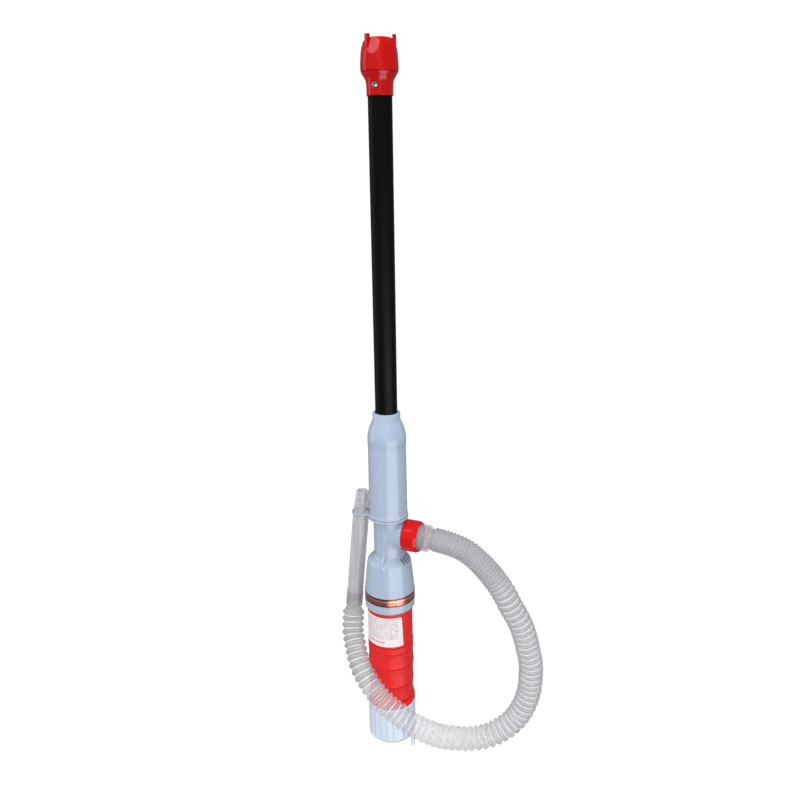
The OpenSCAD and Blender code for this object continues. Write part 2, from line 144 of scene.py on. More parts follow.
def on_spout(run):
    """The spout's axis, which leaves the body's axis along X."""
    return Vector((run, 0, SPOUT_Z * MM)), Vector((0, 1, 0)), Vector((0, 0, 1))


def on_nozzle(run):
    """The nozzle's axis, measured from the clip's eye."""
    return CLIP_EYE + NOZZLE_LEAN * run, Vector((NOZZLE_LEAN.z, 0, -NOZZLE_LEAN.x)), Vector((0, 1, 0))


def turned(name, outline, material, axis=upright, sides=128, shape=None):
    """A closed section in mm, (radius, height), turned about an axis. shape may move its points."""
    count = len(outline)
    points = []
    for radius, height in outline:
        centre, across, along = axis(height * MM)
        for k in range(sides):
            angle = 2 * math.pi * k / sides
            here = shape(radius, angle, height) if shape else radius
            points.append(centre + (across * math.cos(angle) + along * math.sin(angle)) * here * MM)
    faces = []
    for i in range(count):
        j = (i + 1) % count
        if outline[i][0] < TINY and outline[j][0] < TINY:
            continue
        for k in range(sides):
            m = (k + 1) % sides
            faces.append((i * sides + k, i * sides + m, j * sides + m, j * sides + k))
    piece = place_mesh(name, points, faces, material)
    tidy(piece)
    return piece


def tidy(piece):
    """Merges the points that meet on an axis and turns the faces outwards."""
    bm = bmesh.new()
    bm.from_mesh(piece.data)
    bmesh.ops.remove_doubles(bm, verts=bm.verts, dist=1e-7)
    bmesh.ops.recalc_face_normals(bm, faces=bm.faces)
    for face in bm.faces:
        face.smooth = True
    bm.to_mesh(piece.data)
    bm.free()


def creased(piece, angle=35):
    """Smooth shading that breaks at real edges."""
    piece.data.set_sharp_from_angle(angle=math.radians(angle))
    return piece


def cut_by(piece, tool):
    """Cuts one closed piece with another, whose material lines the cut."""
    modifier = piece.modifiers.new("cut", "BOOLEAN")
    modifier.operation = "DIFFERENCE"
    modifier.solver = "EXACT"
    modifier.material_mode = "TRANSFER"
    modifier.object = tool
    graph = bpy.context.evaluated_depsgraph_get()
    graph.update()
    made = bpy.data.meshes.new_from_object(piece.evaluated_get(graph), depsgraph=graph)
    piece.modifiers.clear()
    piece.data = made
    bpy.data.objects.remove(tool)
    return piece


def joined(piece, other):
    """One piece with the closed skins of both."""
    bm = bmesh.new()
    bm.from_mesh(piece.data)
    bm.from_mesh(other.data)
    bm.to_mesh(piece.data)
    bm.free()
    bpy.data.objects.remove(other)
    return piece


# ---- sculpted pieces: fields of signed distance in mm, negative inside ----


def section_field(outline, across, along):
    """Distance to a closed section."""
    nearest = np.full(across.shape, np.inf)
    inside = np.zeros(across.shape, bool)
    for (ax, ay), (bx, by) in zip(outline, outline[1:] + outline[:1]):
        ex, ey = bx - ax, by - ay
        reach = ex * ex + ey * ey
        if reach < 1e-12:
            continue
        wx, wy = across - ax, along - ay
        t = np.clip((wx * ex + wy * ey) / reach, 0, 1)
        nearest = np.minimum(nearest, (wx - ex * t) ** 2 + (wy - ey * t) ** 2)
        if ey:
            inside ^= ((ay <= along) != (by <= along)) & (wx < ex * wy / ey)
    return np.where(inside, -1, 1) * np.sqrt(nearest)


def box_field(p, low, high):
    """Distance to a box."""
    low, high = np.array(low), np.array(high)
    q = np.abs(p - (low + high) / 2) - (high - low) / 2
    return np.linalg.norm(np.maximum(q, 0), axis=-1) + np.minimum(q.max(-1), 0)


def blended(a, b, reach):
    """The union of two fields with a fillet between them."""
    share = np.clip(0.5 + 0.5 * (b - a) / reach, 0, 1)
    return b * (1 - share) + a * share - reach * share * (1 - share)


def around_z(p, degrees):
    """Points turned back about Z, so that a direction at that angle lies along X."""
    c, s = math.cos(math.radians(degrees)), math.sin(math.radians(degrees))
    return np.stack([p[:, 0] * c + p[:, 1] * s, p[:, 1] * c - p[:, 0] * s, p[:, 2]], -1)


CORNERS = np.array([(i, j, k) for i in (0, 1) for j in (0, 1) for k in (0, 1)])
CELL_EDGES = [(a, b) for a in range(8) for b in range(a + 1, 8)
              if np.abs(CORNERS[a] - CORNERS[b]).sum() == 1]


def sculpted(name, field, low, high, step, material):
    """The skin where a field is zero, as even quads: surface nets, then drawn onto the field."""
    origin = np.array(low, float) - 2 * step
    counts = np.ceil((np.array(high) - origin) / step).astype(int) + 3
    grid = np.stack(np.meshgrid(*[np.arange(n) for n in counts], indexing="ij"), -1).reshape(-1, 3)
    values = np.concatenate([field(origin + part * step) for part in np.array_split(grid, 24)])
    values = values.reshape(counts)
    inside = values < 0
    spans = counts - 1
    held = sum(inside[i:i + spans[0], j:j + spans[1], k:k + spans[2]].astype(int) for i, j, k in CORNERS)
    cells = np.argwhere((held > 0) & (held < 8))
    number = np.full(spans, -1)
    number[tuple(cells.T)] = np.arange(len(cells))
    corner = np.stack([values[tuple((cells + c).T)] for c in CORNERS], 1)
    total, hits = np.zeros((len(cells), 3)), np.zeros(len(cells))
    for a, b in CELL_EDGES:
        crossed = (corner[:, a] < 0) != (corner[:, b] < 0)
        gap = np.where(crossed, corner[:, a] - corner[:, b], 1)
        t = np.where(crossed, corner[:, a] / gap, 0)[:, None]
        total += np.where(crossed[:, None], CORNERS[a] + t * (CORNERS[b] - CORNERS[a]), 0)
        hits += crossed
    points = origin + (cells + total / hits[:, None]) * step
    points = drawn_onto(field, points, step)
    faces = []
    for axis in range(3):
        one, two = [np.eye(3, dtype=int)[(axis + n) % 3] for n in (1, 2)]
        ahead = np.eye(3, dtype=int)[axis]
        start = np.argwhere(inside[tuple(slice(0, n) for n in counts - ahead)]
                            != inside[tuple(slice(a, n) for a, n in zip(ahead, counts))])
        ring = [number[tuple((start - offset).T)] for offset in (one + two, two, 0 * one, one)]
        quads = np.stack(ring, 1)
        flip = ~inside[tuple(start.T)]
        quads[flip] = quads[flip][:, ::-1]
        faces += quads.tolist()
    return place_mesh(name, (points * MM).tolist(), faces, material)


def drawn_onto(field, points, step):
    """Moves points along the field's slope to where it is zero."""
    nudge = 0.02
    for _ in range(4):
        slope = np.stack([(field(points + d) - field(points - d)) / (2 * nudge)
                          for d in np.eye(3) * nudge], -1)
        move = -field(points) / np.maximum((slope ** 2).sum(-1), 0.25)
        points = points + slope * np.clip(move, -0.4 * step, 0.4 * step)[:, None]
    return points


def stand_for(piece, body, slot, *replaced):
    """Shows a piece in place of CAD nodes, on their body. The slot argument is not used."""
    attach(piece, body)
    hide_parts(*replaced)
    return piece


# ---- materials ----


def colour(red, green, blue):
    """A display colour, 0 to 255, as a linear one."""
    shares = [c / 255 for c in (red, green, blue)]
    return [c / 12.92 if c <= 0.04045 else ((c + 0.055) / 1.055) ** 2.4 for c in shares] + [1]


class Finish:
    """A node material on one shader, with short ways to vary its colour, gloss and surface."""

    def __init__(self, name, base, roughness, **sockets):
        self.material = bpy.data.materials.new(name)
        self.material.use_nodes = True
        self.tree = self.material.node_tree
        self.shader = self.tree.nodes["Principled BSDF"]
        self.shader.inputs["Base Color"].default_value = base
        self.shader.inputs["Roughness"].default_value = roughness
        for socket, value in sockets.items():
            self.shader.inputs[socket.replace("_", " ")].default_value = value
        self.places = self.tree.nodes.new("ShaderNodeTexCoord").outputs["Object"]

    def link(self, source, target):
        self.tree.links.new(source, target)

    def noise(self, size, stretch=(1, 1, 1), detail=3.0):
        """Noise whose features are about size mm across."""
        mapping = self.tree.nodes.new("ShaderNodeMapping")
        mapping.inputs["Scale"].default_value = stretch
        self.link(self.places, mapping.inputs["Vector"])
        noise = self.tree.nodes.new("ShaderNodeTexNoise")
        noise.inputs["Scale"].default_value = 1 / (size * MM)
        noise.inputs["Detail"].default_value = detail
        self.link(mapping.outputs["Vector"], noise.inputs["Vector"])
        return noise.outputs["Fac"]

    def spread(self, source, low, high, start=0.3, end=0.7):
        """Maps a pattern from start..end to low..high."""
        node = self.tree.nodes.new("ShaderNodeMapRange")
        for socket, value in zip(("From Min", "From Max", "To Min", "To Max"), (start, end, low, high)):
            node.inputs[socket].default_value = value
        self.link(source, node.inputs["Value"])
        return node.outputs["Result"]

    def carried(self, name):
        """A value that the mesh carries at its points."""
        node = self.tree.nodes.new("ShaderNodeAttribute")
        node.attribute_name = name
        return node.outputs["Fac"]

    def math(self, operation, first, second=0.0, third=0.0):
        node = self.tree.nodes.new("ShaderNodeMath")
        node.operation = operation
        for socket, value in zip(node.inputs, (first, second, third)):
            if isinstance(value, (int, float)):
                socket.default_value = value
            else:
                self.link(value, socket)
        return node.outputs["Value"]

    def mixed(self, share, first, second):
        node = self.tree.nodes.new("ShaderNodeMix")
        node.data_type = "RGBA"
        self.link(share, node.inputs["Factor"])
        for socket, value in zip((node.inputs[6], node.inputs[7]), (first, second)):
            if isinstance(value, bpy.types.NodeSocket):
                self.link(value, socket)
            else:
                socket.default_value = value
        return node.outputs[2]

    def paint(self, source):
        self.link(source, self.shader.inputs["Base Color"])

    def gloss(self, source):
        self.link(source, self.shader.inputs["Roughness"])

    def raise_by(self, source, depth, before=None):
        """Bumps the surface by a pattern, depth in mm. Returns the normal."""
        node = self.tree.nodes.new("ShaderNodeBump")
        node.inputs["Strength"].default_value = 1.0
        node.inputs["Distance"].default_value = depth * MM
        self.link(source, node.inputs["Height"])
        if before:
            self.link(before, node.inputs["Normal"])
        self.link(node.outputs["Normal"], self.shader.inputs["Normal"])
        return node.outputs["Normal"]


def moulded(name, base, shade, roughness, grain=0.35, depth=0.004, **sockets):
    """Injection-moulded plastic: faint flow marks, a fine grain and uneven gloss."""
    finish = Finish(name, base, roughness, **sockets)
    flow = finish.noise(14, stretch=(1, 1, 0.35))
    finish.paint(finish.mixed(finish.spread(flow, 0, 1), base, shade))
    finish.gloss(finish.spread(finish.noise(5), roughness - 0.03, roughness + 0.05))
    soft = finish.raise_by(finish.noise(9, detail=1.0), depth * 2)
    finish.raise_by(finish.noise(grain), depth, before=soft)
    return finish.material


BODY_BLUE = moulded("body_blue", colour(160, 175, 195), colour(155, 170, 191), 0.2)
CAP_BLUE = moulded("cap_blue", colour(200, 211, 226), colour(195, 207, 223), 0.26)
# Painted shade: a dark blue-grey that lines the vent slots' cut walls in place of the shade deep inside them
VENT_SHADE = moulded("vent_painted_shade", colour(66, 66, 92), colour(60, 60, 84), 0.5)
GRIP_RED = moulded("grip_red", colour(216, 26, 24), colour(207, 22, 20), 0.4, grain=0.5, depth=0.01,
                   Specular_IOR_Level=0.35)
FOOT_RED = moulded("foot_red", colour(184, 2, 5), colour(170, 1, 3), 0.16,
                   Specular_IOR_Level=0.35)
NUT_RED = moulded("nut_red", colour(200, 10, 12), colour(190, 7, 9), 0.2,
                  Specular_IOR_Level=0.3)


def pipe_black():
    """Extruded black pipe: fine lines along its length."""
    finish = Finish("tube_black", colour(24, 24, 26), 0.4)
    finish.shader.inputs["Specular IOR Level"].default_value = 0.1
    lines = finish.noise(0.7, stretch=(1, 1, 0.01))
    finish.paint(finish.mixed(finish.spread(lines, 0, 1), colour(6, 6, 7), colour(12, 12, 13)))
    finish.gloss(finish.spread(finish.noise(6, stretch=(1, 1, 0.2)), 0.34, 0.42))
    finish.raise_by(lines, 0.006)
    return finish.material


# Painted highlight: pale lines round the hose's ridges stand in for glints of light on its corrugations, and
# are a little more solid
RIDGE_HIGHLIGHT_COLOUR = colour(226, 226, 228)
MILKY_COVER = 0.26
RIDGE_HIGHLIGHT_COVER = 0.22


def clear_vinyl(name, base, shade, roughness, cover, streaks, size=4.0, ridged=False):
    """Milky see-through vinyl. On the hose it gets painted highlight lines and is milkier and denser where
    the mesh says so.
    """
    finish = Finish(name, base, roughness)
    cloud = finish.noise(size, stretch=streaks)
    paint = finish.mixed(finish.spread(cloud, 0, 1), base, shade)
    solid = finish.spread(cloud, cover - 0.05, cover + 0.05)
    if ridged:
        # Painted highlight lines along the ridges: paler and more solid where the mesh carries them
        crest, milk = finish.carried("ridge_highlight"), finish.carried("milky")
        paint = finish.mixed(finish.math("MULTIPLY", milk, 0.9), paint, shade)
        paint = finish.mixed(crest, paint, RIDGE_HIGHLIGHT_COLOUR)
        solid = finish.math("MULTIPLY_ADD", milk, MILKY_COVER, solid)
        solid = finish.math("MULTIPLY_ADD", crest, RIDGE_HIGHLIGHT_COVER, solid)
    finish.paint(paint)
    finish.link(solid, finish.shader.inputs["Alpha"])
    finish.gloss(finish.spread(cloud, roughness - 0.04, roughness + 0.06))
    finish.raise_by(finish.noise(2.5, stretch=streaks), 0.01)
    return finish.material


def metal(name, base, shade, roughness, stretch=(1, 1, 1), size=0.4):
    """Metal with a fine grain in its colour, gloss and surface."""
    finish = Finish(name, base, roughness, Metallic=1.0)
    grain = finish.noise(size, stretch=stretch)
    finish.paint(finish.mixed(finish.spread(grain, 0, 1), base, shade))
    finish.gloss(finish.spread(grain, roughness - 0.06, roughness + 0.1))
    finish.raise_by(grain, 0.008)
    return finish.material


TRIM_MID = 158.15
FOIL_BORDER = 3.3
FOIL_ROW = 1.3
FOIL_MARKS = 15.0


def printed_foil():
    """Copper foil with dark border lines and a row of small plain marks."""
    finish = Finish("copper_foil", colour(200, 122, 98), 0.3, Metallic=0.85)
    split = finish.tree.nodes.new("ShaderNodeSeparateXYZ")
    finish.link(finish.places, split.inputs[0])
    height = finish.math("MULTIPLY_ADD", split.outputs["Z"], 1 / MM, -TRIM_MID)
    off_middle = finish.math("ABSOLUTE", height)
    border = finish.math("COMPARE", off_middle, FOIL_BORDER, 0.45)
    turn = finish.math("ARCTAN2", split.outputs["Y"], split.outputs["X"])
    marks = finish.math("LESS_THAN", finish.math("FRACT", finish.math("MULTIPLY", turn, FOIL_MARKS)), 0.6)
    row = finish.math("COMPARE", height, FOIL_ROW, 0.5)
    wrinkles = finish.noise(3.0, stretch=(1, 1, 0.4))
    paint = finish.mixed(finish.spread(wrinkles, 0, 1), colour(200, 124, 104), colour(170, 98, 80))
    paint = finish.mixed(finish.math("MULTIPLY", row, marks), paint, colour(244, 196, 176))
    finish.paint(finish.mixed(border, paint, colour(60, 32, 28)))
    finish.gloss(finish.spread(wrinkles, 0.24, 0.38))
    finish.raise_by(wrinkles, 0.03)
    return finish.material


# The label's print on the flat sheet in mm: middle and half size of each block, across and up
LABEL_ROW = 1.95
LABEL_BODY = ((33, 16.6), (18.1, 10.7))
LABEL_FOOT = ((27, 9), (4.6, 0.9))


def printed_label():
    """Off-white paper with rows of grey strokes and a coloured row below them; it says nothing."""
    finish = Finish("label_vinyl", colour(228, 220, 220), 0.5)
    flat = finish.tree.nodes.new("ShaderNodeUVMap")
    flat.uv_map = "flat"
    split = finish.tree.nodes.new("ShaderNodeSeparateXYZ")
    finish.link(flat.outputs["UV"], split.inputs[0])
    across, up = split.outputs["X"], split.outputs["Y"]

    def block(place):
        (middle_x, half_x), (middle_y, half_y) = place
        return finish.math("MULTIPLY", finish.math("COMPARE", up, middle_y, half_y),
                           finish.math("COMPARE", across, middle_x, half_x))

    line = finish.math("MULTIPLY", up, 1 / LABEL_ROW)
    in_row = finish.math("COMPARE", finish.math("FRACT", line), 0.5, 0.2)
    place = finish.tree.nodes.new("ShaderNodeCombineXYZ")
    finish.link(finish.math("MULTIPLY", across, 0.9), place.inputs[0])
    finish.link(finish.math("MULTIPLY", finish.math("FLOOR", line), 7.3), place.inputs[1])
    words = finish.tree.nodes.new("ShaderNodeTexNoise")
    words.inputs["Scale"].default_value = 1.0
    finish.link(place.outputs[0], words.inputs["Vector"])
    inked = finish.math("MULTIPLY", in_row, finish.math("GREATER_THAN", words.outputs["Fac"], 0.44))
    paper = finish.mixed(finish.spread(finish.noise(6), 0, 1), colour(230, 222, 222), colour(222, 213, 214))
    paint = finish.mixed(finish.math("MULTIPLY", inked, block(LABEL_BODY)), paper, colour(168, 160, 164))
    beads = finish.math("LESS_THAN", finish.math("FRACT", finish.math("MULTIPLY", across, 0.42)), 0.62)
    finish.paint(finish.mixed(finish.math("MULTIPLY", block(LABEL_FOOT), beads), paint, colour(176, 96, 122)))
    finish.gloss(finish.spread(finish.noise(2), 0.42, 0.55))
    finish.raise_by(finish.noise(0.5), 0.01)
    return finish.material


TUBE_BLACK = pipe_black()
HOSE_VINYL = clear_vinyl("clear_hose", colour(186, 186, 190), colour(152, 152, 157), 0.3, 0.2,
                         streaks=(1, 1, 1), ridged=True)
# The cuff's pinkish tint is painted reflection of the red nut beside it
CUFF_VINYL = clear_vinyl("clear_cuff", colour(182, 171, 178), colour(164, 154, 162), 0.16, 0.42,
                         streaks=(1, 1, 1))
NOZZLE_VINYL = clear_vinyl("clear_tube", colour(208, 207, 210), colour(168, 168, 172), 0.14, 0.6,
                           streaks=(1, 1, 0.02), size=2.6)
COLLAR_VINYL = clear_vinyl("clear_collar", colour(186, 186, 188), colour(166, 166, 169), 0.2, 0.3,
                           streaks=(1, 1, 0.05))
STEEL = metal("steel", colour(206, 207, 210), colour(184, 186, 190), 0.26)
BRASS = metal("brass", colour(206, 170, 92), colour(188, 150, 76), 0.32)
WINDING = metal("copper_winding", colour(176, 96, 54), colour(140, 70, 38), 0.35, (0.2, 0.2, 3), 0.6)
JACKET = metal("cell_jacket", colour(196, 160, 92), colour(60, 62, 66), 0.3, (1, 1, 0.02), 40)
RUBBER = moulded("black_rubber", colour(28, 28, 29), colour(36, 36, 37), 0.7,
                 grain=0.25, depth=0.02)
BLACK_PLASTIC = moulded("black_plastic", colour(30, 30, 31), colour(38, 38, 39), 0.5)
NYLON = moulded("white_nylon", colour(232, 231, 224), colour(224, 222, 214), 0.45)
SEAL_WHITE = moulded("seal_white", colour(214, 212, 208), colour(206, 204, 200), 0.5)
LEAD_RED = moulded("lead_red", colour(188, 24, 24), colour(176, 18, 18), 0.4)
LABEL = printed_label()
FOIL = printed_foil()

CARRIED = {
    "brass": BRASS, "steel": STEEL, "cell_jacket": JACKET, "black_rubber": RUBBER,
    "black_plastic": BLACK_PLASTIC, "white_nylon": NYLON, "seal_white": SEAL_WHITE, "lead_red": LEAD_RED,
    "copper_winding": WINDING, "body_blue": BODY_BLUE, "cap_blue": CAP_BLUE, "grip_red": GRIP_RED,
    "foot_red": FOOT_RED, "nut_red": NUT_RED, "tube_black": TUBE_BLACK, "clear_hose": HOSE_VINYL,
    "clear_cuff": CUFF_VINYL, "clear_tube": NOZZLE_VINYL, "label_vinyl": LABEL, "copper_foil": FOIL,
}


def dress_nodes():
    """Gives every CAD node the finish of its material slot."""
    for part in frame["record"]["subparts"]:
        node = nodes[part["node"]]
        node.data.materials.clear()
        node.data.materials.append(CARRIED[part["material_slot"]])


dress_nodes()

# ---- outlet hose ----

# The hose's route in metres, from the spout's cuff to the nozzle's cuff
HOSE_MID = [
    (0.064, 0.001, 0.217), (0.078, 0.004, 0.210), (0.091, 0.005, 0.199), (0.101, 0.007, 0.187),
    (0.110, 0.008, 0.174), (0.117, 0.010, 0.159), (0.124, 0.013, 0.145), (0.129, 0.016, 0.129),
    (0.132, 0.018, 0.114), (0.135, 0.020, 0.098), (0.135, 0.021, 0.082), (0.134, 0.022, 0.066),
    (0.130, 0.021, 0.050), (0.123, 0.019, 0.035), (0.113, 0.014, 0.024), (0.100, 0.008, 0.016),
    (0.086, 0.003, 0.012), (0.072, -0.004, 0.013), (0.058, -0.013, 0.018), (0.046, -0.021, 0.026),
    (0.033, -0.027, 0.035), (0.021, -0.031, 0.045), (0.010, -0.034, 0.055), (-0.002, -0.034, 0.067),
    (-0.013, -0.031, 0.078), (-0.023, -0.025, 0.089), (-0.031, -0.016, 0.101), (-0.037, -0.008, 0.113),
]
SPOUT_Z = 220.2
NOZZLE_TILT = math.radians(6)
NOZZLE_LEAN = Vector((math.sin(NOZZLE_TILT), 0, math.cos(NOZZLE_TILT)))
CLIP_EYE = Vector((-0.028, 0, 0.237))
CUFF_END = -106
SPOUT_END = Vector((0.044, 0, SPOUT_Z * MM))


def smooth_route(points, first, last, spacing):
    """Evenly spaced points of a smooth line through a route's points, and its length."""
    padded = [points[0] - first, *points, points[-1] + last]
    fine = []
    for a, b, c, d in zip(padded, padded[1:], padded[2:], padded[3:]):
        for i in range(24):
            t = i / 24
            fine.append(0.5 * (2 * b + (c - a) * t + (2 * a - 5 * b + 4 * c - d) * t * t
                               + (3 * b - a - 3 * c + d) * t * t * t))
    fine = np.array([*fine, points[-1]], float)
    for _ in range(60):
        fine[1:-1] += 0.5 * ((fine[:-2] + fine[2:]) / 2 - fine[1:-1])
    lengths = np.concatenate([[0], np.cumsum(np.linalg.norm(np.diff(fine, axis=0), axis=1))])
    stations = np.linspace(0, lengths[-1], round(lengths[-1] / spacing) + 1)
    return np.stack([np.interp(stations, lengths, fine[:, k]) for k in range(3)], 1), lengths[-1]


ROUTE_SPACING = 0.0005
# How the route runs on beyond its first and last point, which sets its direction there
SPOUT_LEAVE = Vector((0.016, 0, 0.001))
NOZZLE_JOIN = 0.018
hose_end = CLIP_EYE + NOZZLE_LEAN * CUFF_END * MM
hose_line, hose_length = smooth_route(
    [SPOUT_END, *map(Vector, HOSE_MID), hose_end],
    SPOUT_LEAVE, NOZZLE_LEAN * NOZZLE_JOIN, ROUTE_SPACING,
)


def carried_frames(line):
    """The direction and the two cross directions at each point of a line, without twist."""
    ahead = np.gradient(line, axis=0)
    ahead /= np.linalg.norm(ahead, axis=1)[:, None]
    side = np.array([0.0, 0.0, 1.0])
    sides = []
    for t in ahead:
        side = side - (side @ t) * t
        side /= np.linalg.norm(side)
        sides.append(side)
    sides = np.array(sides)
    return sides, np.cross(ahead, sides)


hose_sides, hose_ups = carried_frames(hose_line)


def along_hose(run):
    """The hose's axis: run is the length from the spout in metres."""
    at = min(max(run / hose_length, 0), 1) * (len(hose_line) - 1)
    i = min(int(at), len(hose_line) - 2)
    t = at - i
    centre = Vector(hose_line[i] * (1 - t) + hose_line[i + 1] * t)
    across = Vector(hose_sides[i] * (1 - t) + hose_sides[i + 1] * t).normalized()
    up = Vector(hose_ups[i] * (1 - t) + hose_ups[i + 1] * t).normalized()
    return centre, across, up


def eased(value, low, high):
    """0 below low, 1 above high, and smooth between them."""
    t = min(max((value - low) / (high - low), 0), 1)
    return t * t * (3 - 2 * t)


FINE_PITCH = 3.1
WIDE_PITCH = 6.2
FINE_END = 62
WIDE_START = 92
CREST_R = 11.3
HOSE_WALL = 0.7
CUFF_SEAT_R = 9.2
PLUG_SEAT_R = 8.4
CREST_SPAN = 0.1
RIDGE_RINGS = 14
HOSE_SIDES = 48


def hose_walls(total):
    """The corrugated outer wall, (radius, run) in mm, and each ring's share of painted highlight line.

    Near both ends the ridges are round with a painted highlight line in each valley; between them they are
    narrow with one on each crest.
    """
    outer, pale = [(CUFF_SEAT_R, 0.0), (CUFF_SEAT_R, 1.0)], [0.0, 0.0]
    here = 1.4
    while here < total - WIDE_PITCH:
        spread = eased(here, FINE_END, WIDE_START)
        pitch = FINE_PITCH + (WIDE_PITCH - FINE_PITCH) * spread
        crest = CREST_R + 0.4 * eased(here, 40, 100) - 0.9 * eased(here, total - 180, total - 60)
        valley = crest - 1.3 - 0.9 * spread
        drawn = eased(here, 260, 340) - eased(here, total - 115, total - 70)
        width = 0.36 - 0.09 * drawn
        for i in range(RIDGE_RINGS):
            off = abs(i / RIDGE_RINGS - 0.5)
            swell = math.exp(-((off / width) ** 3))
            outer.append((valley + (crest - valley) * swell, here + pitch * i / RIDGE_RINGS))
            at_crest = math.exp(-((off / CREST_SPAN) ** 2))
            at_valley = math.exp(-(((off - 0.5) / CREST_SPAN) ** 2))
            # How strongly each ring carries the painted highlight line: at the valley near the ends, at the
            # crest between
            pale.append((at_valley + (at_crest - at_valley) * drawn) * (0.25 + 0.75 * spread))
        here += pitch
    return outer + [(PLUG_SEAT_R, here), (PLUG_SEAT_R, total)], pale + [0.0, 0.0]


def milkiness(run, total):
    """How milky the vinyl is: more towards both ends, where the hose isn't drawn out."""
    start = 1 - eased(run, 200, 320) + 0.35 * (1 - eased(run, 60, 130))
    return start + eased(run, total - 100, total - 55)


def make_hose():
    """The corrugated hose, whose points carry its painted highlight lines and how milky they are."""
    total = hose_length / MM
    outer, pale = hose_walls(total)
    inner = [(radius - HOSE_WALL, run) for radius, run in reversed(outer)]
    hose = turned("hose_skin", outer + inner, HOSE_VINYL, axis=along_hose, sides=HOSE_SIDES)
    milk = [milkiness(run, total) for _, run in outer]
    for name, values in (("ridge_highlight", pale), ("milky", milk)):
        carried = hose.data.attributes.new(name, "FLOAT", "POINT")
        carried.data.foreach_set("value", np.repeat(values + values[::-1], HOSE_SIDES))
    # Clear vinyl lets nearly all light through, which a partly opaque surface wouldn't
    hose.visible_shadow = False
    hose.visible_diffuse = False
    return stand_for(hose, "pump", "clear_hose", "hose")


def make_inlet_cuff():
    """The flanged cuff that the nut holds against the spout."""
    outer = [(13.3, 28.2), (13.3, 29.4), (12.6, 29.6), (12.5, 33.2), (12.75, 33.8), (12.6, 34.4)]
    outer += [(12.35, 37.5), *arc(10.1, 39.3, 2.4, 10, 90), (10.0, 42.4), (10.3, 43.0), (10.1, 44.0)]
    inner = [(8.3, 44.0), (8.5, 41.0), (9.6, 39.6), (10.8, 38.0), (11.0, 33.0), (9.4, 30.6), (8.3, 28.2)]
    cuff = turned("hose_inlet_cuff", rounded(outer + inner, 0.5), CUFF_VINYL, axis=on_spout)
    return stand_for(cuff, "pump", "clear_cuff", "hose_inlet")


def make_end_cuff():
    """The cuff between the hose and the nozzle tube, with a lip."""
    section = [(6.4, -106), (8.3, -106), (8.3, -89.4), (8.6, -88.9), (8.6, -87.2), (7.8, -87)]
    section += [(7.8, -101), (6.4, -101)]
    cuff = turned("hose_end_collar", rounded(section, 0.3), COLLAR_VINYL, axis=on_nozzle)
    return stand_for(cuff, "pump", "clear_cuff", "hose_end_cuff")


def make_nozzle():
    """The straight tube, with a plug end that tapers above the clip."""
    outer = [(7.75, -101), (7.75, -84.6), (7.9, -84.2), (7.9, -83.6), (7.75, -83.2), (7.75, -4)]
    outer += [(7.32, -2.5), (7.25, 2), (6.8, 8.6), (6.95, 9.2), (6.9, 9.9), (6.55, 10.4)]
    outer += [(6.15, 16), (6.25, 16.4), (6.05, 17), (5.85, 21.2), (5.4, 22)]
    inner = [(4.3, 22), (4.3, 2), (6.35, -6), (6.35, -101)]
    tube = turned("nozzle_tube", rounded(outer + inner, 0.35), NOZZLE_VINYL, axis=on_nozzle, sides=96)
    return stand_for(tube, "pump", "clear_tube", "nozzle")


hose_skin = make_hose()
make_end_cuff()
make_nozzle()
make_inlet_cuff()

# ---- battery end ----

FLUTES = 21
FLUTE_DEPTH = 0.8
CAP_SIDES = 16 * FLUTES
LUG_TURN = -25.5
LUG_R = 1.9
LUG_X = 30.2
LUG_WEB_Z = 9.5
LUG_H = 14


def fluted(radius, angle, height):
    """Shallow upright flutes round the cap's wall, fading towards both ends."""
    if radius < 22.5:
        return radius
    fade = eased(height, 3, 9) * (1 - eased(height, 33, 36.5))
    return radius - FLUTE_DEPTH * fade * (1 - abs(math.sin(FLUTES * angle / 2)) ** 1.4)


def lug_field(p):
    """The finger lug: an upright peg beside the cap's wall, held by a web at its top."""
    q = around_z(p, LUG_TURN)
    soft = 0.6
    peg = np.hypot(q[:, 0] - LUG_X, q[:, 1]) - LUG_R
    peg = np.stack([peg + soft, np.abs(q[:, 2] - LUG_H / 2) - LUG_H / 2 + soft], -1)
    peg = np.linalg.norm(np.maximum(peg, 0), axis=-1) + np.minimum(peg.max(-1), 0) - soft
    web_low = (22.2 + soft, -LUG_R + soft, LUG_WEB_Z + soft)
    web = box_field(q, web_low, (LUG_X, LUG_R - soft, LUG_H - soft)) - soft
    return blended(peg, web, 0.8)


def make_cap():
    """The twist cap: a fluted cup with a rounded foot, and its lug."""
    wall = [(r + eased(i, 0, 10), z) for i, (r, z) in enumerate(arc(17.5, 5, 5, -90, 0, 10))]
    outer = [(0, 0.5), (12, 0.5), (12.6, 0), *wall, (23.5, 7.5), (23.5, 9)]
    outer += [(23.5, z) for z in np.arange(11, 38, 2.0)] + [(23.5, 38.6), (23.2, 39.6), (22.7, 40)]
    section = outer + [(21.4, 40), (21.3, 39.7), (21.3, 3.2), (0, 3.2)]
    cap = turned("cap_shell", section, CAP_BLUE, sides=CAP_SIDES, shape=fluted)
    lug = sculpted("lug", lug_field, (18, -18, 0), (31, -7, 14), 0.3, CAP_BLUE)
    return stand_for(creased(joined(cap, lug), 50), "cap", "cap_blue", "battery_cap")


GROOVES = (48.0, 64.0, 85.0, 100.8, 107.6)
# A groove's own section: depth and height from its middle
GROOVE = ((0, -0.6), (0.15, -0.42), (0.9, -0.2), (0.9, 0.2), (0.15, 0.42), (0, 0.6))


